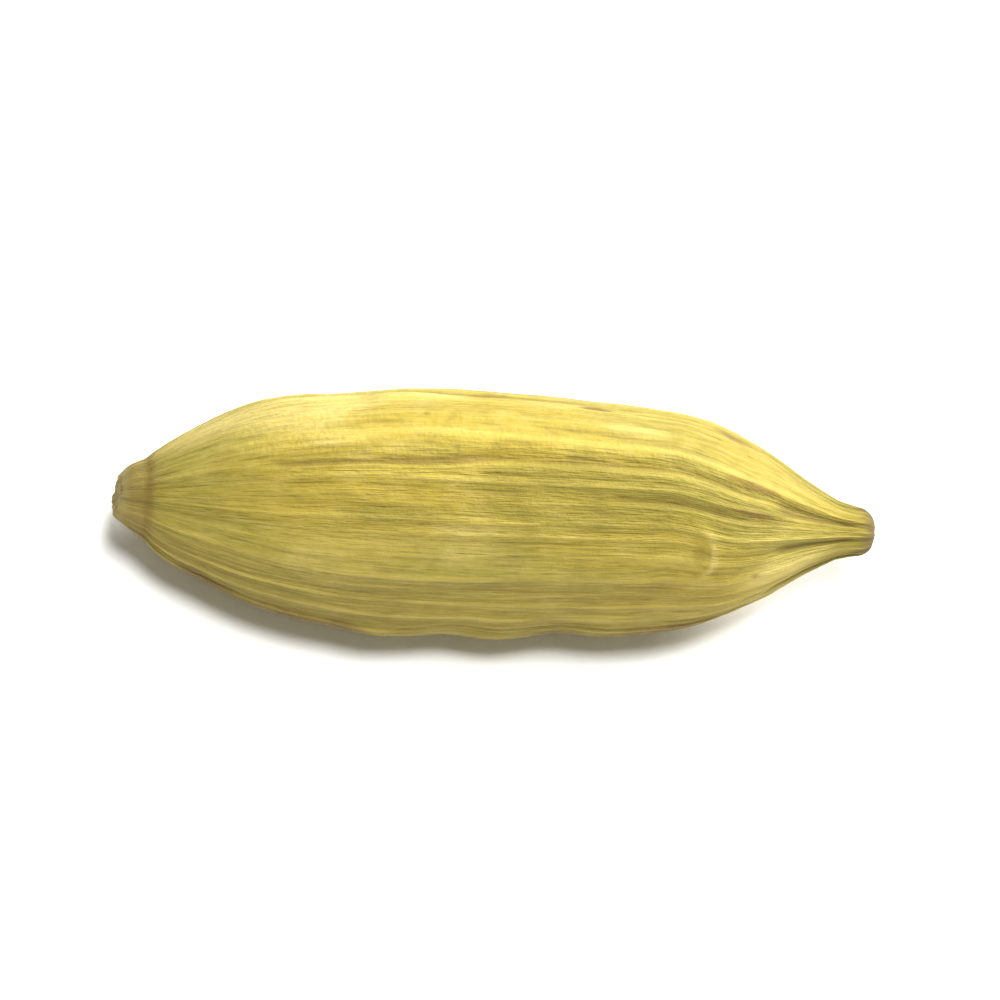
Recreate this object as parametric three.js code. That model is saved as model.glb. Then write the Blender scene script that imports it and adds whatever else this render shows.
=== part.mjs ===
// A dried green cardamom pod, grown as one piece: a three-sided ribbed spindle with a flower scar at one
// end and a stub of stalk at the other. Millimetres, +Z up, +X along the pod towards the stalk, -Y to the
// front. It lies on one of its three faces, on a small flat spot at z = 0, with the middle of its
// footprint at the origin.
import * as THREE from "three";
import { mergeVertices } from "three/addons/utils/BufferGeometryUtils.js";

const { degToRad, euclideanModulo, radToDeg, smoothstep } = THREE.MathUtils;

// Driving dimensions.
const LENGTH = 20; // flower end to stalk end
const GIRTH_RADIUS = 3.16; // mean radius at the thickest place
const THREE_SIDED = 0.085; // share of the radius by which corners stand out and faces draw in
const RIB_COUNT = 36;
const RIB_HEIGHT = 0.1; // crest of the strongest rib above the valleys beside it
const RIB_STRENGTH = { mean: 0.6, own: 0.25, changing: 0.15 }; // shares of RIB_HEIGHT
const RIB_WAVES = { own: 2.4, changing: 4.1, along: 7 }; // radians from rib to rib, and over LENGTH
const RIB_SPACING = [
  { swing: 0.05, waves: 5, start: 1 },
  { swing: 0.03, waves: 11, start: 2 },
]; // how ribs stray from even places, in radians
const FLUTE_COUNT = 8; // grooves around the neck of the stalk
const FLUTE_DEPTH = 0.32; // deepest of them
const FLUTE_NARROWNESS = 3; // 1 for grooves as wide as the ridges between them, more for narrow ones
const FLUTES = { from: 0.835, deepest: 0.875, fade: 0.955 }; // shares of LENGTH
const FLUTE_STRENGTH = { mean: 0.75, swing: 0.25, waves: 3, start: 1 }; // shares of FLUTE_DEPTH
const REST_DEPTH = 0.16; // what the resting spot takes off the roundness of the underside
const STALK_DROOP = 0.2; // how far the stalk hangs below the line of the body
const STALK_LEAN = 0.08; // how far the stalk leans to the front
const STALK_BENDS_FROM = 0.68; // share of LENGTH from which it droops and leans
const FLOWER_DROOP = 0.6; // how far the flower end hangs below the line of the body
const FLOWER_LEAN = 0.23; // how far the flower end leans to the back
const FLOWER_BENDS_TO = 0.3; // share of LENGTH up to which it droops and leans
const SIDE_BOW = 0.15; // how far the middle of the body bows to the back
const TWIST = degToRad(6); // how far the husk turns to the front towards the stalk
const TWISTS = { from: 0.7, to: 0.82 }; // shares of LENGTH

// The outline in three stretches, as shares of LENGTH and of GIRTH_RADIUS.
const FLOWER_SCAR = [
  [0.008, 0],
  [0.006, 0.07],
  [0.0015, 0.125],
  [0, 0.155],
  [0.003, 0.185],
  [0.016, 0.235],
];
const BODY = [
  [0.04, 0.315],
  [0.09, 0.53],
  [0.14, 0.7],
  [0.2, 0.83],
  [0.28, 0.925],
  [0.38, 0.985],
  [0.48, 1],
  [0.6, 0.965],
  [0.7, 0.91],
  [0.78, 0.82],
  [0.85, 0.62],
  [0.905, 0.4],
  [0.95, 0.245],
];
const STALK_END = [
  [0.97, 0.212],
  [0.986, 0.192],
  [0.996, 0.15],
  [1, 0.085],
  [0.998, 0],
];

// Folds run along the husk. Around is in degrees from the top corner towards the front, and spread is in
// degrees too. From and to are shares of LENGTH, and a height below zero is a groove.
const FOLDS = [
  { around: -3.5, from: 0.06, to: 0.42, height: 0.07, spread: 4.5 },
  { around: -6.5, from: 0.3, to: 0.97, height: 0.1, spread: 5 },
  { around: 3, from: 0.12, to: 0.5, height: -0.08, spread: 2.2 },
  { around: 0.5, from: 0.34, to: 0.94, height: -0.07, spread: 2.2 },
  { around: 9, from: 0.6, to: 0.98, height: 0.02, spread: 3.5 },
  { around: 16, from: 0.55, to: 0.95, height: -0.055, spread: 2.4 },
  { around: 20, from: 0.25, to: 0.82, height: -0.1, spread: 13 },
  { around: 33, from: 0.28, to: 0.54, height: -0.035, spread: 2.2 },
  { around: 57, from: 0.12, to: 0.8, height: 0.13, spread: 13 },
  { around: -17, from: 0.45, to: 0.75, height: -0.045, spread: 2.6 },
  { around: 71, from: 0.36, to: 0.72, height: -0.045, spread: 2.6 },
  { around: 112, from: 0.08, to: 0.96, height: 0.12, spread: 6 },
  { around: 236, from: 0.08, to: 0.96, height: 0.14, spread: 6 },
  { around: 250, from: 0.3, to: 0.9, height: -0.1, spread: 5 },
  { around: 300, from: 0.15, to: 0.7, height: -0.08, spread: 5 },
];
const FOLD_FADE = 0.12; // share of LENGTH over which a fold rises and dies away
const THINNING = { ribs: 0.6, folds: 0.5, flutes: 0.5, all: 0.3 }; // powers of fullness that thin relief

// Broad dents and swellings. At is a share of LENGTH, and reach is in millimetres along and degrees around.
const DENTS = [
  { at: 0.345, around: 110, depth: -0.08, reach: [0.8, 18] },
  { at: 0.445, around: 108, depth: 0.13, reach: [0.8, 18] },
  { at: 0.585, around: 108, depth: 0.18, reach: [0.9, 18] },
  { at: 0.115, around: -65, depth: 0.08, reach: [0.9, 30] },
  { at: 0.055, around: 112, depth: -0.6, reach: [0.8, 40] },
  { at: 0.82, around: 108, depth: 0.16, reach: [1.4, 25] },
  { at: 0.2, around: -62, depth: -0.19, reach: [1.8, 34] },
  { at: 0.36, around: -65, depth: -0.1, reach: [1.2, 30] },
  { at: 0.6, around: -55, depth: 0.06, reach: [2, 25] },
  { at: 0.34, around: 55, depth: -0.1, reach: [2.4, 28] },
  { at: 0.66, around: 215, depth: 0.16, reach: [1.6, 25] },
  { at: 0.3, around: 285, depth: 0.14, reach: [1.8, 22] },
];

const COLUMNS_PER_RIB = 4;
const BODY_ROWS = 30;

const turnBetween = (from, to) => euclideanModulo(to - from + 180, 360) - 180;
const bell = (distance) => Math.exp(-distance * distance);

// The outline as lathe points: radius in x, distance from the flower end in y.
function outlinePoints() {
  const scaled = ([along, radius]) => new THREE.Vector2(radius * GIRTH_RADIUS, along * LENGTH);
  const body = new THREE.SplineCurve(BODY.map(scaled)).getPoints(BODY_ROWS);
  return [...FLOWER_SCAR.map(scaled), ...body, ...STALK_END.map(scaled)];
}

// Ribs are unevenly spaced: a rib's own angle differs from its even share of the turn.
function unevenTurn(evenTurn) {
  let turn = evenTurn;
  for (const { swing, waves, start } of RIB_SPACING) turn += swing * Math.sin(waves * evenTurn + start);
  return turn;
}

// Height of the rib under this point. Each rib has its own strength, which changes along the pod.
function ribHeight(share, evenTurn, fullness) {
  const place = (evenTurn / (2 * Math.PI)) * RIB_COUNT;
  const rib = Math.round(place) % RIB_COUNT;
  const own = RIB_STRENGTH.own * Math.sin(RIB_WAVES.own * rib);
  const changing = RIB_STRENGTH.changing * Math.sin(RIB_WAVES.changing * rib + RIB_WAVES.along * share);
  const strength = RIB_STRENGTH.mean + own + changing;
  const crest = 0.5 + 0.5 * Math.cos(2 * Math.PI * place);
  return RIB_HEIGHT * strength * crest * fullness ** THINNING.ribs;
}

function foldHeight(share, aroundDegrees, fullness) {
  let height = 0;
  for (const fold of FOLDS) {
    const rise = smoothstep(share, fold.from, fold.from + FOLD_FADE);
    const fall = 1 - smoothstep(share, fold.to - FOLD_FADE, fold.to);
    const across = turnBetween(fold.around, aroundDegrees) / fold.spread;
    height += fold.height * rise * fall * bell(across) * fullness ** THINNING.folds;
  }
  return height;
}

function dentDepth(share, aroundDegrees) {
  let depth = 0;
  for (const dent of DENTS) {
    const [alongReach, aroundReach] = dent.reach;
    const along = ((share - dent.at) * LENGTH) / alongReach;
    const across = turnBetween(dent.around, aroundDegrees) / aroundReach;
    depth += dent.depth * bell(along) * bell(across);
  }
  return depth;
}

// On the neck of the stalk the husk is drawn together in ridges, with grooves between them.
function fluteDepth(share, evenTurn) {
  const neck = smoothstep(share, FLUTES.from, FLUTES.deepest) * (1 - smoothstep(share, FLUTES.fade, 1));
  const groove = 0.5 + 0.5 * Math.cos(FLUTE_COUNT * evenTurn);
  const { mean, swing, waves, start } = FLUTE_STRENGTH;
  const strength = mean + swing * Math.sin(waves * evenTurn + start);
  return FLUTE_DEPTH * neck * strength * groove ** FLUTE_NARROWNESS;
}

// A point of the husk, from its distance along the pod, its outline radius and its even share of the turn.
function huskPoint(along, outlineRadius, evenTurn) {
  const share = along / LENGTH;
  const turn = unevenTurn(evenTurn);
  const aroundDegrees = radToDeg(turn);
  const fullness = outlineRadius / GIRTH_RADIUS;
  const relief =
    ribHeight(share, evenTurn, fullness) +
    foldHeight(share, aroundDegrees, fullness) -
    dentDepth(share, aroundDegrees) * fullness;
  const radius =
    outlineRadius * (1 + THREE_SIDED * fullness * Math.cos(3 * turn)) +
    relief * fullness ** THINNING.all -
    fluteDepth(share, evenTurn) * fullness ** THINNING.flutes;
  const towardsStalk = smoothstep(share, STALK_BENDS_FROM, 1);
  const towardsFlower = 1 - smoothstep(share, 0, FLOWER_BENDS_TO);
  const bow = SIDE_BOW * Math.sin(Math.PI * share);
  const axisY = bow + FLOWER_LEAN * towardsFlower - STALK_LEAN * towardsStalk;
  const axisZ = -FLOWER_DROOP * towardsFlower - STALK_DROOP * towardsStalk;
  const twisted = turn + TWIST * smoothstep(share, TWISTS.from, TWISTS.to);
  return new THREE.Vector3(along, axisY - radius * Math.sin(twisted), axisZ + radius * Math.cos(twisted));
}

function huskGeometry() {
  const outline = outlinePoints();
  const geometry = new THREE.LatheGeometry(outline, RIB_COUNT * COLUMNS_PER_RIB);
  const { position, uv } = geometry.attributes;
  for (let i = 0; i < position.count; i++) {
    const { x: radius, y: along } = outline[i % outline.length];
    const point = huskPoint(along, radius, (uv.getX(i) % 1) * 2 * Math.PI);
    position.setXYZ(i, point.x, point.y, point.z);
  }
  geometry.deleteAttribute("normal");
  geometry.deleteAttribute("uv");
  return layOnRestingSpot(mergeVertices(geometry));
}

// Flattens the lowest part of the underside, and moves the flat to z = 0 with the footprint centred.
function layOnRestingSpot(geometry) {
  const { position } = geometry.attributes;
  geometry.computeBoundingBox();
  const floor = geometry.boundingBox.min.z + REST_DEPTH;
  for (let i = 0; i < position.count; i++) position.setZ(i, Math.max(position.getZ(i), floor));
  const middle = geometry.boundingBox.getCenter(new THREE.Vector3());
  geometry.translate(-middle.x, -middle.y, -floor);
  geometry.computeVertexNormals();
  return geometry;
}

const husk = new THREE.MeshStandardMaterial({ color: 0xb9a552, roughness: 0.65, metalness: 0 });
const pod = new THREE.Mesh(huskGeometry(), husk);
pod.name = "cardamom_pod";

const part = new THREE.Group();
part.add(pod);
export default part;
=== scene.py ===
import math

import bpy
import numpy as np
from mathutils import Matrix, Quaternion, Vector


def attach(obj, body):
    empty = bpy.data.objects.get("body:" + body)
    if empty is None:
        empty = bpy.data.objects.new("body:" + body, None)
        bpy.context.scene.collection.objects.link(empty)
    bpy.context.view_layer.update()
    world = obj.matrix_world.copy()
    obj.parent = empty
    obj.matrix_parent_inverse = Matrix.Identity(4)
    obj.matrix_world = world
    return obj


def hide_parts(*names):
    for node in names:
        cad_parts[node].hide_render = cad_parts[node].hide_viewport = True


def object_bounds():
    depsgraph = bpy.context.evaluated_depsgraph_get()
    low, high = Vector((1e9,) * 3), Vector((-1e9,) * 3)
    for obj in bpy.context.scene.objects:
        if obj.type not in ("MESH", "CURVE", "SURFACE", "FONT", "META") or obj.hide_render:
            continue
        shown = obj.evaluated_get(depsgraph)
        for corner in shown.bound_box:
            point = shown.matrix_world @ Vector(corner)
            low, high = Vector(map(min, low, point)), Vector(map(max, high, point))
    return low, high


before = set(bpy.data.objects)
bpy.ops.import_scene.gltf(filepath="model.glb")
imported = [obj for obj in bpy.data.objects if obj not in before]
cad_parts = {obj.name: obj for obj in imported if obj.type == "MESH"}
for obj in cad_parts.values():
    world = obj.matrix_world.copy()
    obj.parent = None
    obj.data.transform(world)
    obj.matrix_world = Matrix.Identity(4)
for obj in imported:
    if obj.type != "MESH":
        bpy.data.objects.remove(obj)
cad_low, cad_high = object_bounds()

MM = 0.001

# Form of the pod, as in its solid. Places along it are shares of LENGTH from the flower scar to the stalk.
LENGTH = 20.0
GIRTH_RADIUS = 3.16
THREE_SIDED = 0.085  # how far the three corners stand out, as a share of the radius
REST_DEPTH = 0.16  # how deep the flat spot underneath is
STALK_DROOP = 0.2
STALK_LEAN = 0.08  # to the front
STALK_BENDS_FROM = 0.68
FLOWER_DROOP = 0.6
FLOWER_LEAN = 0.23  # to the back
FLOWER_BENDS_TO = 0.3
SIDE_BOW = 0.15  # how far the middle bows to the back
TWIST = math.radians(6)
TWISTS_FROM, TWISTS_TO = 0.7, 0.82
FOLD_FADE = 0.12  # share of LENGTH in which a fold rises or fades
RELIEF_TAPER = 0.3  # power of the girth by which folds and dents get lower towards the ends
LEAST_RADIUS = 0.02

# Ribs, and the waves that set them at uneven distances. Waves round the pod are given as size, number of
# crests and start in radians.
RIB_COUNT = 36
RIB_SPACING_WAVES = [(0.05, 5, 1), (0.03, 11, 2)]

# Grooves on the neck of the stalk, where the husk is drawn together in ridges.
FLUTE_COUNT = 8
FLUTE_DEPTH = 0.32
FLUTE_SHARPNESS = 3  # power that makes the grooves narrow
FLUTE_MEAN = 0.75  # share of the depth that a groove has on average
FLUTE_WAVES = [(0.25, 3, 1)]
FLUTES_FROM, FLUTES_DEEPEST, FLUTES_FADE = 0.835, 0.875, 0.955

# The outline in three stretches, as shares of LENGTH and of GIRTH_RADIUS.
FLOWER_SCAR = [(0.008, 0), (0.006, 0.07), (0.0015, 0.125), (0, 0.155), (0.003, 0.185), (0.016, 0.235)]
BODY = [
    (0.04, 0.315),
    (0.09, 0.53),
    (0.14, 0.7),
    (0.2, 0.83),
    (0.28, 0.925),
    (0.38, 0.985),
    (0.48, 1),
    (0.6, 0.965),
    (0.7, 0.91),
    (0.78, 0.82),
    (0.85, 0.62),
    (0.905, 0.4),
    (0.95, 0.245),
]
STALK_END = [(0.97, 0.212), (0.986, 0.192), (0.996, 0.15), (1, 0.085), (0.998, 0)]

# The flat faces at both ends: how near the ends they lie, and the girths between which they pass into the
# worn edges round them.
END_FACE_SHARE = 0.02
END_FACE_GIRTH = (0.06, 0.12)

# Folds along the husk: degrees around from the top corner towards the front, start and end as shares of
# LENGTH, height in millimetres with grooves below zero, and spread in degrees.
FOLDS = [
    (-3.5, 0.06, 0.42, 0.07, 4.5),
    (-6.5, 0.3, 0.97, 0.1, 5),
    (3, 0.12, 0.5, -0.08, 2.2),
    (0.5, 0.34, 0.94, -0.07, 2.2),
    (9, 0.6, 0.98, 0.02, 3.5),
    (16, 0.55, 0.95, -0.055, 2.4),
    (20, 0.25, 0.82, -0.1, 13),
    (33, 0.28, 0.54, -0.035, 2.2),
    (57, 0.12, 0.8, 0.13, 13),
    (-17, 0.45, 0.75, -0.045, 2.6),
    (71, 0.36, 0.72, -0.045, 2.6),
    (112, 0.08, 0.96, 0.12, 6),
    (236, 0.08, 0.96, 0.14, 6),
    (250, 0.3, 0.9, -0.1, 5),
    (300, 0.15, 0.7, -0.08, 5),
]

# Folds of this spread and more get no painted shade in their grooves.
BROAD_FOLD = 8

# Broad dents: share of LENGTH, degrees around, depth in millimetres with swellings below zero, and reach in
# millimetres along and degrees around.
DENTS = [
    (0.345, 110, -0.08, 0.8, 18),
    (0.445, 108, 0.13, 0.8, 18),
    (0.585, 108, 0.18, 0.9, 18),
    (0.115, -65, 0.08, 0.9, 30),
    (0.055, 112, -0.6, 0.8, 40),
    (0.82, 108, 0.16, 1.4, 25),
    (0.2, -62, -0.19, 1.8, 34),
    (0.36, -65, -0.1, 1.2, 30),
    (0.6, -55, 0.06, 2, 25),
    (0.34, 55, -0.1, 2.4, 28),
    (0.66, 215, 0.16, 1.6, 25),
    (0.3, 285, 0.14, 1.8, 22),
]

# A healed nick: a low rim, open towards the flower end, round a shallow hollow.
NICK_SHARE = 0.75
NICK_AROUND = 43.0
NICK_REACH_ALONG = 0.35
NICK_REACH_ACROSS = 0.75
NICK_HEIGHT = 0.08
NICK_RIM = 0.4  # width of the rim, as a share of the nick's reach
NICK_HOLLOW = 0.7  # width of the hollow, in the same terms
NICK_CENTRE = 0.01  # nearer than this to its middle, no side of the nick is told from another

# Brown marks: share of LENGTH, degrees around, strength, and reach in millimetres along and degrees around.
# The ones along the lower front edge darken it next to the floor.
BROWN_MARKS = [
    (0.74, 108, 0.8, 2.2, 8),
    (0.56, 110, 0.5, 1.2, 7),
    (0.1, 104, 0.5, 1.2, 14),
    (0.2, 108, 0.55, 1.6, 12),
    (0.31, 110, 0.55, 1.4, 11),
    (0.615, -45, 1.0, 0.4, 5),
    (0.82, -4.5, 0.9, 1.1, 3),
    (0.82, 11.5, 0.8, 1.1, 2.5),
    (0.42, 240, 0.7, 2.0, 9),
    (0.22, 170, 0.5, 1.4, 12),
    (0.8, 310, 0.6, 1.0, 8),
]

# Paler patches, in the same terms. Most are painted light: they lighten the back face where the light falls
# and the shaded lower rim by the stalk.
PALE_AND_PAINTED_LIGHT_PATCHES = [
    (0.26, -48, 1.2, 2.0, 20),
    (0.4, -50, 0.7, 1.0, 14),
    (0.55, -45, 0.6, 1.3, 12),
    (0.66, -22, 0.8, 1.0, 6),
    (0.82, 9, 0.5, 0.5, 4),
    (0.87, 63, 1.0, 1.4, 18),
    (0.87, 104, 1.0, 1.2, 14),
    (0.22, -28, 0.9, 1.4, 14),
    (0.1, -50, 0.9, 1.3, 26),
    (0.27, -8, 0.6, 1.2, 6),
    (0.25, 52, 0.5, 2.0, 28),
    (0.43, 47, 0.5, 1.3, 14),
    (0.43, 12, 0.5, 0.8, 6),
    (0.45, 34, 0.6, 1.0, 4),
    (0.5, 205, 0.7, 2.0, 16),
    (0.75, 280, 0.7, 1.4, 12),
]

# Greener patches, in the same terms. Most are painted shade: they darken the front face just under the top
# corner and the shoulder before the neck.
OLIVE_AND_PAINTED_SHADE_PATCHES = [
    (0.65, 15, 0.9, 2.4, 14),
    (0.48, 14, 0.6, 1.8, 10),
    (0.83, 14, 1.0, 1.1, 12),
    (0.32, -48, 0.6, 0.5, 18),
    (0.48, -60, 0.5, 0.6, 14),
    (0.12, 75, 0.2, 1.2, 20),
    (0.34, 28, 1.1, 1.3, 6),
    (0.54, 5, 0.8, 1.2, 4),
    (0.61, 8, 0.6, 1.6, 4),
    (0.47, 25, 0.7, 1.0, 4),
    (0.51, 61, 0.7, 1.2, 5),
    (0.61, 28, 0.8, 1.4, 5),
    (0.71, 28, 0.6, 1.0, 5),
    (0.33, 165, 0.8, 2.0, 20),
    (0.6, 255, 0.8, 2.2, 18),
]

# The lower side is painted darker and browner, as painted shade where the pod turns under towards the floor:
# the degrees around of its middle, how many degrees from there it begins and ends to fade, and the shares of
# LENGTH between which it fades towards the stalk.
PAINTED_SHADE_AROUND = 160
PAINTED_SHADE_EDGE = (80, 115)
PAINTED_SHADE_ENDS = (0.76, 0.86)

# Fine relief that the husk has on top of its form. Widths and wanderings are shares of the distance from rib
# to rib, or from stria to stria.
RIB_HEIGHT = 0.055
RIB_WIDTH = 0.17
RIB_WANDER = 1.1
GROOVE_DEPTH = 0.024
GROOVE_WIDTH = 0.09
STRIAE_PER_RIB = 4
STRIA_DEPTH = 0.01
STRIA_WIDTH = 0.2
STRIA_WANDER = 1.5
CRINKLE_HEIGHT = 0.05
SWELL_HEIGHT = 0.12
RELIEF_SEED = 4

# A rib's strength is a mean, a part of its own and a part that changes along the pod. The last two are waves,
# which move on by so many radians from one rib to the next, and the last by so many over the pod's length.
RIB_MEAN = 0.6
RIB_OWN, RIB_OWN_STEP = 0.25, 2.4
RIB_CHANGE, RIB_CHANGE_STEP, RIB_CHANGE_ALONG = 0.15, 4.1, 7.0

# Lines fade with a noise: its values where they are faintest and strongest, and the strength at the faintest.
RIB_FADE = (0.3, 0.6, 0.3)
LINE_FADE = (0.42, 0.62, 0.0)

# The fine relief begins and ends between these shares of LENGTH, and gets lower with this power of the girth.
RELIEF_BEGINS = (0.0, 0.03)
RELIEF_ENDS = (0.965, 0.995)
FINE_TAPER = 0.7

# Noise patterns of the relief: size across the grain and along it in millimetres, and detail. The seed steps
# on from one to the next. Swellings are a little smaller than the seeds that make them.
RELIEF_PATTERNS = {
    "rib wander": (3.0, 9.0, 1.0),
    "rib fading": (0.8, 3.0, 2.0),
    "groove gaps": (0.6, 1.8, 2.0),
    "stria wander": (0.8, 3.0, 1.0),
    "stria gaps": (0.35, 1.8, 1.0),
    "crinkles": (0.7, 0.45, 2.0),
    "swellings": (2.2, 2.6, 0.0),
}
PATTERN_SEED_STEP = 7.0
NOISE_MEAN = 0.5

# The flower scar's collar is creased where it meets the body, and both ends are ragged. The flower end is cut
# at a slant.
COLLAR_SHARE = 0.041
COLLAR_REACH = 0.16
COLLAR_CREASE = 0.035
RAGGED_EDGE = 0.07
RAGGED_MEAN = 0.5
RAGGED_WAVES = [(0.22, 5, 1), (0.16, 9, 0), (0.12, 17, 2)]
FLOWER_EDGE_REACH = 0.25
STALK_EDGE_REACH = 0.2
FLOWER_SLANT = 0.16
FLOWER_SLANT_AROUND = -35.0

# Patterns of the husk's material, in the terms of the relief's. Real fibres and pores are a few hundredths of
# a millimetre wide, which is too fine to show, so they are drawn two to four times as coarse.
HUSK_PATTERNS = {
    "patches": (2.5, 6.0, 3.0),
    "dark fibres": (0.09, 1.6, 3.0),
    "pale fibres": (0.14, 2.4, 3.0),
    "ragged edges": (0.9, 1.2, 4.0),
    "fine fibres": (0.05, 0.9, 2.0),
    "pores": (0.12, 0.12, 2.0),
    "wrinkles": (0.2, 0.5, 3.0),
    "mottling": (0.3, 0.45, 5.0),
}
PATTERN_SHIFT = 9.0  # keeps each pattern apart from the next
SPECK_SPACING = (1.6, 1.6, 2.6)

# How far the ragged pattern moves the edges of specks, ends, patches and collar.
RAGGED_SPECKS = 0.12
RAGGED_ENDS = 0.05
RAGGED_PATCHES = 0.9
RAGGED_COLLAR = 1.5

# The surface is rough between ribs, and worn smoother where a rib has this strength.
GROOVE_ROUGHNESS, RIB_ROUGHNESS = 0.72, 0.52
WORN_RIB = 0.8
BUMP_DEPTH = 0.06
BUMP_STRENGTH = 0.9
PORE_BUMP = 0.5
WRINKLE_BUMP = 1.2

# Fineness of the mesh: columns around, and rows between two points of the outline.
COLUMNS = 540
SCAR_ROWS = 3
BODY_ROWS = 11
STALK_ROWS = 4

# The photograph's view, narrowed to the pod.
CAMERA_ELEVATION = math.radians(66.5)
CAMERA_AZIMUTH = math.radians(-23.0)
CAMERA_DISTANCE = 0.29
CAMERA_CLIP_START = 0.01
POD_TILT_IN_VIEW = math.radians(-2.5)
SENSOR_WIDTH = 36.0
POD_SHARE_OF_WIDTH = 0.77

# A bright white room, a softbox overhead and a lower one behind: name, direction, distance, size and watts.
ROOM_LIGHT = 0.28
SOFTBOXES = [
    ("overhead_softbox", (0.03, 0.02, 1.0), 0.7, 0.26, 5.55),
    ("back_softbox", (0.92, 0.74, 0.6), 0.6, 0.3, 5.7),
]

# The floor reaches this far each way, and lies just under the pod.
FLOOR_REACH = 2.0
FLOOR_LEVEL = -0.00001

# Node kinds that come up often.
MATH = "ShaderNodeMath"
VECTOR_MATH = "ShaderNodeVectorMath"
NOISE = "ShaderNodeTexNoise"
RANGE = "ShaderNodeMapRange"


def linear(hex_colour):
    """Linear colour with alpha from an sRGB hex value."""
    channels = [int(hex_colour[i : i + 2], 16) / 255 for i in (1, 3, 5)]
    return [c / 12.92 if c <= 0.04045 else ((c + 0.055) / 1.055) ** 2.4 for c in channels] + [1.0]


def add(tree, kind, inputs=(), output=0, **settings):
    """Adds a node and gives one of its outputs. Inputs are values or sockets, in order or by name."""
    node = tree.nodes.new(kind)
    for name, value in settings.items():
        setattr(node, name, value)
    for key, value in inputs.items() if isinstance(inputs, dict) else enumerate(inputs):
        if isinstance(value, bpy.types.NodeSocket):
            tree.links.new(value, node.inputs[key])
        else:
            node.inputs[key].default_value = value
    return node.outputs[output] if node.outputs else None


def smoothstep(value, low, high):
    """0 up to low and 1 from high on, with a smooth rise between them."""
    t = np.clip((value - low) / (high - low), 0.0, 1.0)
    return t * t * (3.0 - 2.0 * t)


def bell(distance):
    """1 at no distance, falling off evenly on both sides."""
    return np.exp(-distance * distance)


def swing(angle):
    """1 at an angle of zero, and 0 half a turn away."""
    return 0.5 + 0.5 * np.cos(angle)


def waves_round(waves, turn):
    """Sum of waves round the pod."""
    return sum(size * np.sin(count * turn + start) for size, count, start in waves)


def turn_between(start, end):
    """Degrees from start to end, the short way round."""
    return (end - start + 180.0) % 360.0 - 180.0


def spline(points, rows):
    """Points on a Catmull-Rom curve through the given ones, with the same number of rows in every span."""
    knots = np.array([points[0], *points, points[-1]], float)
    t = np.linspace(0.0, 1.0, rows, endpoint=False)[:, None]
    spans = [
        b + 0.5 * t * (c - a + t * (2 * a - 5 * b + 4 * c - d + t * (3 * (b - c) + d - a)))
        for a, b, c, d in zip(knots, knots[1:], knots[2:], knots[3:])
    ]
    return np.vstack([*spans, knots[-1:]])


def outline():
    """Shares of length and girth, from the bottom of the flower scar to the middle of the stalk's end."""
    scar = spline([*FLOWER_SCAR, BODY[0]], SCAR_ROWS)[:-1]
    body = spline(BODY, BODY_ROWS)
    stalk = spline([BODY[-1], *STALK_END], STALK_ROWS)[1:]
    return np.clip(np.vstack([scar, body, stalk]), 0.0, 1.0)


def fold_height(folds, share, around):
    """Sum of folds that rise and fade along the pod."""
    height = 0.0
    for place, start, end, crest, spread in folds:
        reach = smoothstep(share, start, start + FOLD_FADE) * (1 - smoothstep(share, end - FOLD_FADE, end))
        height = height + crest * reach * bell(turn_between(place, around) / spread)
    return height


def spotted(spots, share, around):
    """Sum of soft oval spots."""
    total = 0.0
    for at, place, strength, along_reach, around_reach in spots:
        along = bell((share - at) * LENGTH / along_reach)
        total = total + strength * along * bell(turn_between(place, around) / around_reach)
    return total


def flute_depth(share, even_turn):
    """Depth of the uneven grooves on the neck of the stalk."""
    neck = smoothstep(share, FLUTES_FROM, FLUTES_DEEPEST) * (1 - smoothstep(share, FLUTES_FADE, 1.0))
    uneven = FLUTE_MEAN + waves_round(FLUTE_WAVES, even_turn)
    return FLUTE_DEPTH * neck * uneven * swing(FLUTE_COUNT * even_turn) ** FLUTE_SHARPNESS


def painted_shade_share(share, around):
    """1 on the lower side, where shade is painted, and 0 on the others and on the neck of the stalk."""
    away = np.abs(turn_between(PAINTED_SHADE_AROUND, around))
    return (1 - smoothstep(away, *PAINTED_SHADE_EDGE)) * (1 - smoothstep(share, *PAINTED_SHADE_ENDS))


def collar_ring(share):
    """1 on the crease of the collar, and 0 away from it."""
    return bell((share - COLLAR_SHARE) * LENGTH / COLLAR_REACH)


def ragged_ends(share, even_turn):
    """How far the edges of the flower scar and the stalk's end are worn back along the pod."""
    worn = RAGGED_MEAN + waves_round(RAGGED_WAVES, even_turn)
    flower_end = bell(share * LENGTH / FLOWER_EDGE_REACH)
    stalk_end = bell((1 - share) * LENGTH / STALK_EDGE_REACH)
    slant = swing(even_turn - math.radians(FLOWER_SLANT_AROUND))
    return RAGGED_EDGE * worn * (flower_end - stalk_end) + FLOWER_SLANT * slant * flower_end


def nick_height(share, around):
    """Height of the nick's rim, below zero in its hollow."""
    along = (share - NICK_SHARE) * LENGTH / NICK_REACH_ALONG
    across = np.radians(turn_between(NICK_AROUND, around)) * GIRTH_RADIUS / NICK_REACH_ACROSS
    distance = np.hypot(along, across)
    closed_side = 0.5 + 0.5 * along / np.maximum(distance, NICK_CENTRE)
    rim = bell((distance - 1) / NICK_RIM) * closed_side
    return NICK_HEIGHT * (rim - bell(distance / NICK_HOLLOW))


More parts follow.
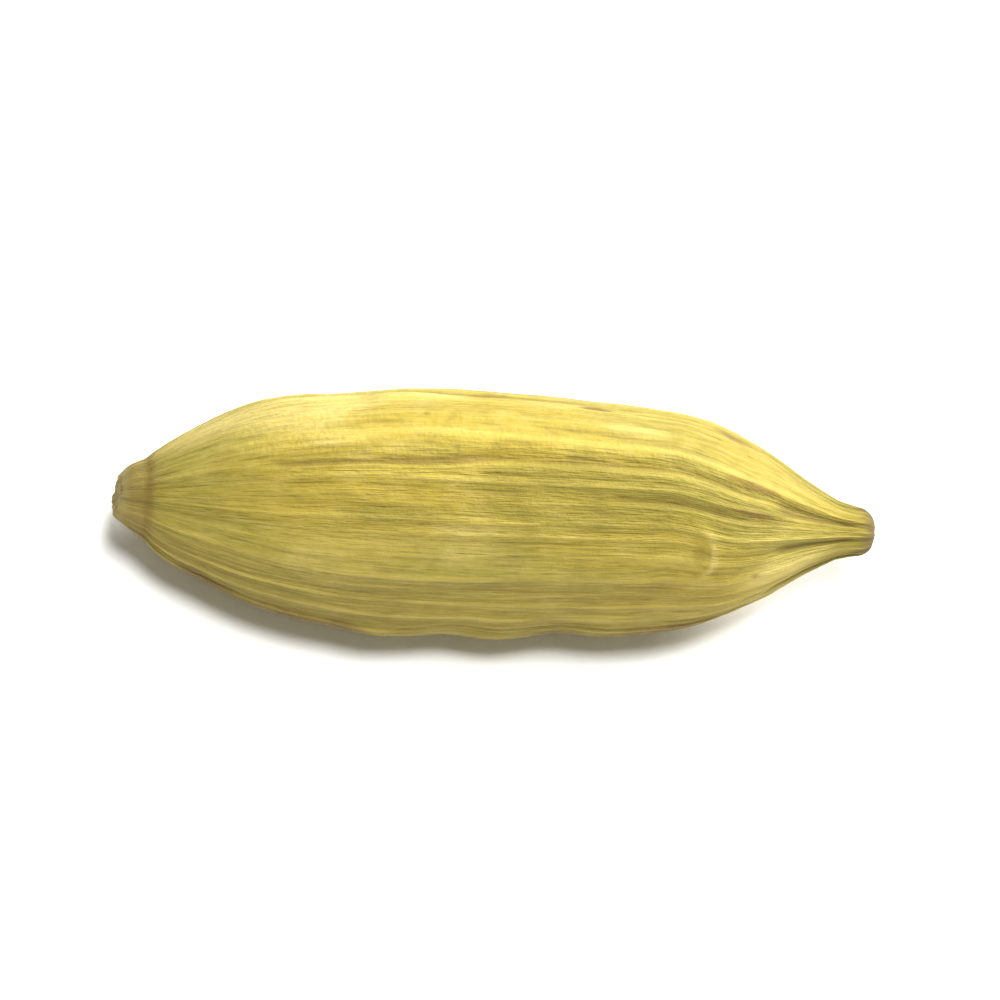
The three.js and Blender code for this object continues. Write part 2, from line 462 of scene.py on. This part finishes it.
def bare_husk():
    """The pod's form without its fine relief, as a mesh with the attributes that relief and colour read."""
    even_turn = np.arange(COLUMNS) / COLUMNS * 2 * math.pi
    share, fullness = (column[:, None] * np.ones(COLUMNS) for column in outline().T)
    even_turn = even_turn * np.ones_like(share)
    turn = even_turn + waves_round(RIB_SPACING_WAVES, even_turn)
    around = np.degrees(turn)

    # Folds, dents and flutes get lower where the pod gets thinner.
    fold = fold_height(FOLDS, share, around) * np.sqrt(fullness)
    flute = flute_depth(share, even_turn)
    nick = nick_height(share, around)
    relief = (fold + nick - spotted(DENTS, share, around) * fullness) * fullness**RELIEF_TAPER
    relief = relief - flute * np.sqrt(fullness) - COLLAR_CREASE * collar_ring(share)
    radius = fullness * GIRTH_RADIUS * (1 + THREE_SIDED * fullness * np.cos(3 * turn)) + relief
    radius = np.where(fullness > 0, np.maximum(radius, LEAST_RADIUS), 0.0)

    # The edges of both ends are worn back, and the flat faces inside them aren't.
    near_end = (share < END_FACE_SHARE) | (share > 1 - END_FACE_SHARE)
    end_face = (1 - smoothstep(fullness, *END_FACE_GIRTH)) * near_end
    along = share * LENGTH + ragged_ends(share, even_turn) * (1 - end_face)

    # The pod's axis bows and droops, and the husk twists towards the stalk.
    towards_stalk = smoothstep(share, STALK_BENDS_FROM, 1.0)
    towards_flower = 1 - smoothstep(share, 0.0, FLOWER_BENDS_TO)
    lean = FLOWER_LEAN * towards_flower - STALK_LEAN * towards_stalk
    axis_y = SIDE_BOW * np.sin(math.pi * share) + lean
    axis_z = -FLOWER_DROOP * towards_flower - STALK_DROOP * towards_stalk
    twisted = turn + TWIST * smoothstep(share, TWISTS_FROM, TWISTS_TO)
    y = axis_y - radius * np.sin(twisted)
    z = axis_z + radius * np.cos(twisted)
    points = np.stack([along, y, z], axis=-1)
    grain = np.stack([GIRTH_RADIUS * np.cos(even_turn), GIRTH_RADIUS * np.sin(even_turn), along], axis=-1)

    # Each end closes in a single point.
    kept = np.ones(share.shape, bool)
    kept[[0, -1], 1:] = False
    number = (np.cumsum(kept) - 1).reshape(share.shape)
    beside = np.roll(number, -1, axis=1)
    quads = np.stack([number[:-1], beside[:-1], beside[1:], number[1:]], axis=-1).reshape(-1, 4)
    faces = [list(dict.fromkeys(quad)) for quad in quads.tolist()]
    mesh = bpy.data.meshes.new("pod_husk")
    mesh.from_pydata((points[kept] * MM).tolist(), [], faces)

    narrow_folds = [row for row in FOLDS if row[-1] < BROAD_FOLD]
    fields = {
        "turn": even_turn / (2 * math.pi),
        "share": share,
        "fullness": fullness,
        "fold": fold_height(narrow_folds, share, around),
        "flute": flute / FLUTE_DEPTH,
        "stain": spotted(BROWN_MARKS, share, around),
        "pale": spotted(PALE_AND_PAINTED_LIGHT_PATCHES, share, around),
        "underside": painted_shade_share(share, around),
        "collar": collar_ring(share),
        "nick": nick / NICK_HEIGHT,
        "olive": spotted(OLIVE_AND_PAINTED_SHADE_PATCHES, share, around),
        "end_face": end_face,
    }
    for name, values in fields.items():
        field = mesh.attributes.new(name, "FLOAT", "POINT")
        field.data.foreach_set("value", values[kept].astype(np.float32))
    place = mesh.attributes.new("grain", "FLOAT_VECTOR", "POINT")
    place.data.foreach_set("vector", grain[kept].astype(np.float32).ravel())
    return mesh


def husk_relief_tree():
    """Raises ribs from the bare husk, grooves between them, striae on them, crinkles and seed swellings."""
    tree = bpy.data.node_groups.new("husk_relief", "GeometryNodeTree")
    tree.interface.new_socket("Geometry", in_out="INPUT", socket_type="NodeSocketGeometry")
    for name, kind in [
        ("Rib Count", "NodeSocketInt"),
        ("Rib Height", "NodeSocketFloat"),
        ("Rib Width", "NodeSocketFloat"),
        ("Rib Wander", "NodeSocketFloat"),
        ("Groove Depth", "NodeSocketFloat"),
        ("Groove Width", "NodeSocketFloat"),
        ("Striae Per Rib", "NodeSocketInt"),
        ("Stria Depth", "NodeSocketFloat"),
        ("Stria Width", "NodeSocketFloat"),
        ("Crinkle Height", "NodeSocketFloat"),
        ("Swell Height", "NodeSocketFloat"),
        ("Seed", "NodeSocketInt"),
        ("Material", "NodeSocketMaterial"),
    ]:
        tree.interface.new_socket(name, in_out="INPUT", socket_type=kind)
    tree.interface.new_socket("Geometry", in_out="OUTPUT", socket_type="NodeSocketGeometry")
    given = add(tree, "NodeGroupInput").node.outputs

    turn, share, fullness = (
        add(tree, "GeometryNodeInputNamedAttribute", {"Name": name}, data_type="FLOAT")
        for name in ("turn", "share", "fullness")
    )
    grain = add(tree, "GeometryNodeInputNamedAttribute", {"Name": "grain"}, data_type="FLOAT_VECTOR")

    noises = {}
    for name, (across, along, detail) in RELIEF_PATTERNS.items():
        scaled = add(tree, VECTOR_MATH, [grain, (1 / across, 1 / across, 1 / along)], operation="MULTIPLY")
        seed = add(tree, MATH, [given["Seed"], PATTERN_SEED_STEP * len(noises)], operation="ADD")
        texture = {"Vector": scaled, "W": seed, "Scale": 1.0, "Detail": detail}
        noises[name] = add(tree, NOISE, texture, noise_dimensions="4D")

    # Ribs are narrow veins, and each has its own strength, which changes along the pod.
    wander = add(tree, MATH, [noises["rib wander"], NOISE_MEAN], operation="SUBTRACT")
    wander = add(tree, MATH, [wander, given["Rib Wander"]], operation="MULTIPLY")
    phase = add(tree, MATH, [turn, given["Rib Count"], wander], operation="MULTIPLY_ADD")
    between = add(tree, MATH, [phase, 0.5], operation="ADD")
    rib = add(tree, MATH, [phase], operation="ROUND")
    rib = add(tree, MATH, [rib, given["Rib Count"]], operation="FLOORED_MODULO")
    own = add(tree, MATH, [rib, RIB_OWN_STEP], operation="MULTIPLY")
    own = add(tree, MATH, [own], operation="SINE")
    changing = add(tree, MATH, [rib, RIB_CHANGE_STEP], operation="MULTIPLY")
    changing = add(tree, MATH, [share, RIB_CHANGE_ALONG, changing], operation="MULTIPLY_ADD")
    changing = add(tree, MATH, [changing], operation="SINE")
    strength = add(tree, MATH, [changing, RIB_CHANGE, RIB_MEAN], operation="MULTIPLY_ADD")
    strength = add(tree, MATH, [own, RIB_OWN, strength], operation="MULTIPLY_ADD")

    # Grooves lie halfway between ribs, and striae in between. All lines fade in and out along the pod.
    stria_phase = add(tree, MATH, [noises["stria wander"], STRIA_WANDER], operation="MULTIPLY")
    stria_phase = add(tree, MATH, [phase, given["Striae Per Rib"], stria_phase], operation="MULTIPLY_ADD")
    lines = []
    for line, width, gaps, (faintest, strongest, least) in [
        (between, "Rib Width", "rib fading", RIB_FADE),
        (phase, "Groove Width", "groove gaps", LINE_FADE),
        (stria_phase, "Stria Width", "stria gaps", LINE_FADE),
    ]:
        away = add(tree, MATH, [line], operation="FRACT")
        away = add(tree, MATH, [away, 0.5], operation="SUBTRACT")
        away = add(tree, MATH, [away, given[width]], operation="DIVIDE")
        away = add(tree, MATH, [away, away], operation="MULTIPLY")
        away = add(tree, MATH, [away, -1.0], operation="MULTIPLY")
        drawn = add(tree, MATH, [away], operation="EXPONENT")
        limits = {"From Min": faintest, "From Max": strongest, "To Min": least, "To Max": 1.0}
        present = add(tree, RANGE, {"Value": noises[gaps], **limits}, interpolation_type="SMOOTHSTEP")
        lines.append(add(tree, MATH, [drawn, present], operation="MULTIPLY"))
    crest, groove, stria = lines
    crest = add(tree, MATH, [crest, strength], operation="MULTIPLY")

    crinkle = add(tree, MATH, [noises["crinkles"], NOISE_MEAN], operation="SUBTRACT")
    swell = add(tree, MATH, [noises["swellings"], NOISE_MEAN], operation="SUBTRACT")
    height = add(tree, MATH, [crest, given["Rib Height"]], operation="MULTIPLY")
    for form, size, sign in [
        (groove, "Groove Depth", -1.0),
        (stria, "Stria Depth", -1.0),
        (crinkle, "Crinkle Height", 1.0),
        (swell, "Swell Height", 1.0),
    ]:
        raised = add(tree, MATH, [form, sign], operation="MULTIPLY")
        height = add(tree, MATH, [raised, given[size], height], operation="MULTIPLY_ADD")

    # The relief dies away on both end faces.
    for (low, high), first, last in [(RELIEF_BEGINS, 0.0, 1.0), (RELIEF_ENDS, 1.0, 0.0)]:
        limits = {"Value": share, "From Min": low, "From Max": high, "To Min": first, "To Max": last}
        within = add(tree, RANGE, limits, interpolation_type="SMOOTHSTEP")
        height = add(tree, MATH, [height, within], operation="MULTIPLY")
    taper = add(tree, MATH, [fullness, FINE_TAPER], operation="POWER")
    height = add(tree, MATH, [height, taper], operation="MULTIPLY")

    # The material reads the lines by these names.
    normal = add(tree, "GeometryNodeInputNormal")
    offset = add(tree, VECTOR_MATH, {0: normal, "Scale": height}, operation="SCALE")
    geometry = given["Geometry"]
    for name, value in {"crest": crest, "groove": groove, "stria": stria}.items():
        stored = {"Geometry": geometry, "Name": name, "Value": value}
        geometry = add(tree, "GeometryNodeStoreNamedAttribute", stored, data_type="FLOAT")
    geometry = add(tree, "GeometryNodeSetPosition", {"Geometry": geometry, "Offset": offset})
    geometry = add(tree, "GeometryNodeRealizeInstances", {"Geometry": geometry})
    geometry = add(tree, "GeometryNodeSetMaterial", {"Geometry": geometry, "Material": given["Material"]})
    add(tree, "NodeGroupOutput", {"Geometry": geometry})
    return tree


def grown(name, mesh, tree, sizes):
    """The plain mesh that a tree makes from a mesh with these named sizes."""
    piece = bpy.data.objects.new(name, mesh)
    bpy.context.scene.collection.objects.link(piece)
    modifier = piece.modifiers.new(tree.name, "NODES")
    modifier.node_group = tree
    for socket in tree.interface.items_tree:
        if socket.in_out == "INPUT" and socket.name in sizes:
            modifier[socket.identifier] = sizes[socket.name]
    depsgraph = bpy.context.evaluated_depsgraph_get()
    evaluated = piece.evaluated_get(depsgraph)
    result = bpy.data.meshes.new_from_object(evaluated, preserve_all_data_layers=True, depsgraph=depsgraph)
    piece.modifiers.remove(modifier)
    piece.data = result
    return piece


def lay_down(mesh):
    """Flattens the resting spot of the pod and moves it to where its solid lies."""
    points = np.empty(len(mesh.vertices) * 3)
    mesh.vertices.foreach_get("co", points)
    x, y, z = points.reshape(-1, 3).T
    floor = z.min() + REST_DEPTH * MM
    middle = (cad_low + cad_high) / 2
    x += middle.x - (x.min() + x.max()) / 2
    y += middle.y - (y.min() + y.max()) / 2
    z = np.maximum(z - floor, 0.0)
    mesh.vertices.foreach_set("co", np.stack([x, y, z], axis=-1).ravel())
    mesh.shade_smooth()
    mesh.update()


def dried_papery_husk():
    """Air-dried plant husk: matte and fibrous, straw on the ribs, olive in the grooves, darkened to brown
    there with painted shade.
    """
    material = bpy.data.materials.new("dried_papery_husk")
    material.use_nodes = True
    tree = material.node_tree
    tree.nodes.clear()

    fields = "share crest groove stria fold flute stain pale olive underside collar nick end_face".split()
    share, crest, groove, stria, fold, flute, stain, pale, olive, underside, collar, nick, end_face = (
        add(tree, "ShaderNodeAttribute", output="Fac", attribute_name=name) for name in fields
    )
    grain = add(tree, "ShaderNodeAttribute", output="Vector", attribute_name="grain")

    noises = []
    for across, along, detail in HUSK_PATTERNS.values():
        scaled = add(tree, VECTOR_MATH, [grain, (1 / across, 1 / across, 1 / along)], operation="MULTIPLY")
        shift = (PATTERN_SHIFT * len(noises), 0.0, 0.0)
        scaled = add(tree, VECTOR_MATH, [scaled, shift], operation="ADD")
        noises.append(add(tree, NOISE, {"Vector": scaled, "Scale": 1.0, "Detail": detail}))
    patches, dark_fibres, pale_fibres, ragged, fine_fibres, pores, wrinkles, mottle = noises

    # Specks, patches and ends have ragged edges.
    ragged = add(tree, MATH, [ragged, NOISE_MEAN], operation="SUBTRACT")
    specks = [1 / spacing for spacing in SPECK_SPACING]
    specks = add(tree, VECTOR_MATH, [grain, specks], operation="MULTIPLY")
    specks = add(tree, "ShaderNodeTexVoronoi", {"Vector": specks, "Scale": 1.0}, output="Distance")
    specks = add(tree, MATH, [ragged, RAGGED_SPECKS, specks], operation="MULTIPLY_ADD")
    ragged_share = add(tree, MATH, [ragged, RAGGED_ENDS, share], operation="MULTIPLY_ADD")
    ragged_brown_mark = add(tree, MATH, [ragged, RAGGED_PATCHES, stain], operation="MULTIPLY_ADD")
    ragged_pale_and_painted_light = add(tree, MATH, [ragged, RAGGED_PATCHES, pale], operation="MULTIPLY_ADD")
    ragged_olive_and_painted_shade = add(tree, MATH, [ragged, RAGGED_PATCHES, olive], operation="MULTIPLY_ADD")
    ragged_collar = add(tree, MATH, [ragged, RAGGED_COLLAR, collar], operation="MULTIPLY_ADD")

    # Each layer tints what is under it: a field, two of its values, the amounts of tint at these two, and
    # the tint.
    colour = linear("#ae9939")
    for field, first, second, from_amount, to_amount, tint in [
        (patches, 0.38, 0.62, 0.0, 0.8, "#9a8f3e"),
        (mottle, 0.5, 0.7, 0.0, 0.35, "#86762f"),
        (mottle, 0.3, 0.5, 0.35, 0.0, "#bda85a"),
        (ragged, 0.03, 0.22, 0.0, 0.4, "#8a7a33"),
        (ragged, -0.22, -0.03, 0.4, 0.0, "#bca757"),
        # Painted shade: the lower side, darker and browner.
        (underside, 0.0, 1.0, 0.0, 0.4, "#7d6a34"),
        # Painted light on most pale patches: the lit back face and the shaded lower rim by the stalk.
        (ragged_pale_and_painted_light, 0.2, 0.9, 0.0, 0.7, "#dac674"),
        (dark_fibres, 0.5, 0.68, 0.0, 0.24, "#7a682c"),
        (pale_fibres, 0.5, 0.66, 0.0, 0.26, "#c8b55c"),
        (fine_fibres, 0.36, 0.46, 0.16, 0.0, "#75642b"),
        (fine_fibres, 0.54, 0.64, 0.0, 0.16, "#c9b55e"),
        (crest, 0.1, 0.7, 0.0, 0.58, "#c4af50"),
        # Painted shade on most olive patches: under the top corner and on the shoulder before the neck.
        (ragged_olive_and_painted_shade, 0.2, 0.9, 0.0, 0.55, "#857a30"),
        # Painted shade: striae and grooves darkened where shade falls in them.
        (stria, 0.0, 1.0, 0.0, 0.24, "#6f5d27"),
        (groove, 0.1, 1.0, 0.0, 0.32, "#5f4d20"),
        (specks, 0.0, 0.07, 0.6, 0.0, "#66501f"),
        # Painted shade: the grooves of narrow folds darkened.
        (fold, -0.075, -0.015, 0.62, 0.0, "#6a5422"),
        # Painted shade: the grooves on the neck of the stalk darkened.
        (flute, 0.2, 0.9, 0.0, 0.6, "#66552a"),
        (ragged_brown_mark, 0.25, 0.8, 0.0, 0.7, "#6f5226"),
        (nick, 0.2, 0.9, 0.0, 0.6, "#cdb86c"),
        (nick, -0.9, -0.2, 0.2, 0.0, "#6e5b26"),
        (ragged_share, 0.035, 0.06, 0.65, 0.0, "#958248"),
        (ragged_collar, 0.25, 1.1, 0.0, 0.45, "#7a5a22"),
        (ragged_share, 0.97, 0.995, 0.0, 0.8, "#75633c"),
        # Painted light: the end faces, which face away from the lamps, paler than their own colour.
        (ragged_share, 0.006, 0.022, 0.5, 0.0, "#b5a064"),
        (end_face, 0.0, 1.0, 0.0, 0.75, "#b5a064"),
    ]:
        limits = {"From Min": first, "From Max": second, "To Min": from_amount, "To Max": to_amount}
        amount = add(tree, RANGE, {"Value": field, **limits}, interpolation_type="SMOOTHSTEP")
        layers = {0: amount, 6: colour, 7: linear(tint)}
        colour = add(tree, "ShaderNodeMix", layers, output=2, data_type="RGBA")

    limits = {"From Min": 0.0, "From Max": WORN_RIB, "To Min": GROOVE_ROUGHNESS, "To Max": RIB_ROUGHNESS}
    roughness = add(tree, RANGE, {"Value": crest, **limits})
    texture = add(tree, MATH, [pores, PORE_BUMP, fine_fibres], operation="MULTIPLY_ADD")
    texture = add(tree, MATH, [wrinkles, WRINKLE_BUMP, texture], operation="MULTIPLY_ADD")
    relief = {"Height": texture, "Distance": BUMP_DEPTH * MM, "Strength": BUMP_STRENGTH}
    surface = {
        "Base Color": colour,
        "Roughness": roughness,
        "Normal": add(tree, "ShaderNodeBump", relief),
        "IOR": 1.45,
        "Specular IOR Level": 0.25,
    }
    shader = add(tree, "ShaderNodeBsdfPrincipled", surface)
    add(tree, "ShaderNodeOutputMaterial", {"Surface": shader})
    return material


def white_paper_sweep():
    """Uncoated white paper under the pod: matte, with hardly any gloss."""
    material = bpy.data.materials.new("white_paper_sweep")
    material.use_nodes = True
    shader = material.node_tree.nodes["Principled BSDF"]
    shader.inputs["Base Color"].default_value = linear("#fafaf8")
    shader.inputs["Roughness"].default_value = 0.9
    shader.inputs["Specular IOR Level"].default_value = 0.1
    return material


def make_husk():
    """The whole pod as one piece."""
    sizes = {
        "Rib Count": RIB_COUNT,
        "Rib Height": RIB_HEIGHT * MM,
        "Rib Width": RIB_WIDTH,
        "Rib Wander": RIB_WANDER,
        "Groove Depth": GROOVE_DEPTH * MM,
        "Groove Width": GROOVE_WIDTH,
        "Striae Per Rib": STRIAE_PER_RIB,
        "Stria Depth": STRIA_DEPTH * MM,
        "Stria Width": STRIA_WIDTH,
        "Crinkle Height": CRINKLE_HEIGHT * MM,
        "Swell Height": SWELL_HEIGHT * MM,
        "Seed": RELIEF_SEED,
        "Material": dried_papery_husk(),
    }
    husk = grown("pod_husk", bare_husk(), husk_relief_tree(), sizes)
    lay_down(husk.data)
    return husk


def make_floor():
    """A plain white floor."""
    mesh = bpy.data.meshes.new("floor")
    sides = [(-1, -1), (1, -1), (1, 1), (-1, 1)]
    corners = [(x * FLOOR_REACH, y * FLOOR_REACH, FLOOR_LEVEL) for x, y in sides]
    mesh.from_pydata(corners, [], [(0, 1, 2, 3)])
    mesh.materials.append(white_paper_sweep())
    floor = bpy.data.objects.new("floor", mesh)
    bpy.context.scene.collection.objects.link(floor)
    return floor


def make_camera():
    """Looks down on the middle of the pod, rolled so that the pod lies at the photograph's tilt."""
    data = bpy.data.cameras.new("camera")
    camera = bpy.data.objects.new("camera", data)
    bpy.context.scene.collection.objects.link(camera)
    level = math.cos(CAMERA_ELEVATION)
    back = Vector((
        math.sin(CAMERA_AZIMUTH) * level,
        -math.cos(CAMERA_AZIMUTH) * level,
        math.sin(CAMERA_ELEVATION),
    ))
    camera.location = (cad_low + cad_high) / 2 + back * CAMERA_DISTANCE
    look = (-back).to_track_quat("-Z", "Y")
    pod_axis = look.inverted() @ Vector((1.0, 0.0, 0.0))
    roll = math.atan2(pod_axis.y, pod_axis.x) - POD_TILT_IN_VIEW
    camera.rotation_euler = (look @ Quaternion((0.0, 0.0, 1.0), roll)).to_euler()
    data.sensor_width = SENSOR_WIDTH
    data.lens = SENSOR_WIDTH * CAMERA_DISTANCE * POD_SHARE_OF_WIDTH / (cad_high.x - cad_low.x)
    data.clip_start = CAMERA_CLIP_START
    bpy.context.scene.camera = camera


def make_light():
    """Round softboxes that face the pod, in a white room."""
    for name, direction, distance, size, watts in SOFTBOXES:
        data = bpy.data.lights.new(name, "AREA")
        data.shape = "DISK"
        data.size = size
        data.energy = watts
        softbox = bpy.data.objects.new(name, data)
        bpy.context.scene.collection.objects.link(softbox)
        towards = Vector(direction).normalized()
        softbox.location = towards * distance
        softbox.rotation_euler = towards.to_track_quat("Z", "Y").to_euler()
    world = bpy.data.worlds.new("white_room")
    world.use_nodes = True
    background = world.node_tree.nodes["Background"]
    background.inputs["Color"].default_value = (1.0, 1.0, 1.0, 1.0)
    background.inputs["Strength"].default_value = ROOM_LIGHT
    bpy.context.scene.world = world
    bpy.context.scene.view_settings.view_transform = "Standard"


make_camera()
make_light()
make_floor()

husk = make_husk()
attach(husk, "root")
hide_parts("cardamom_pod")
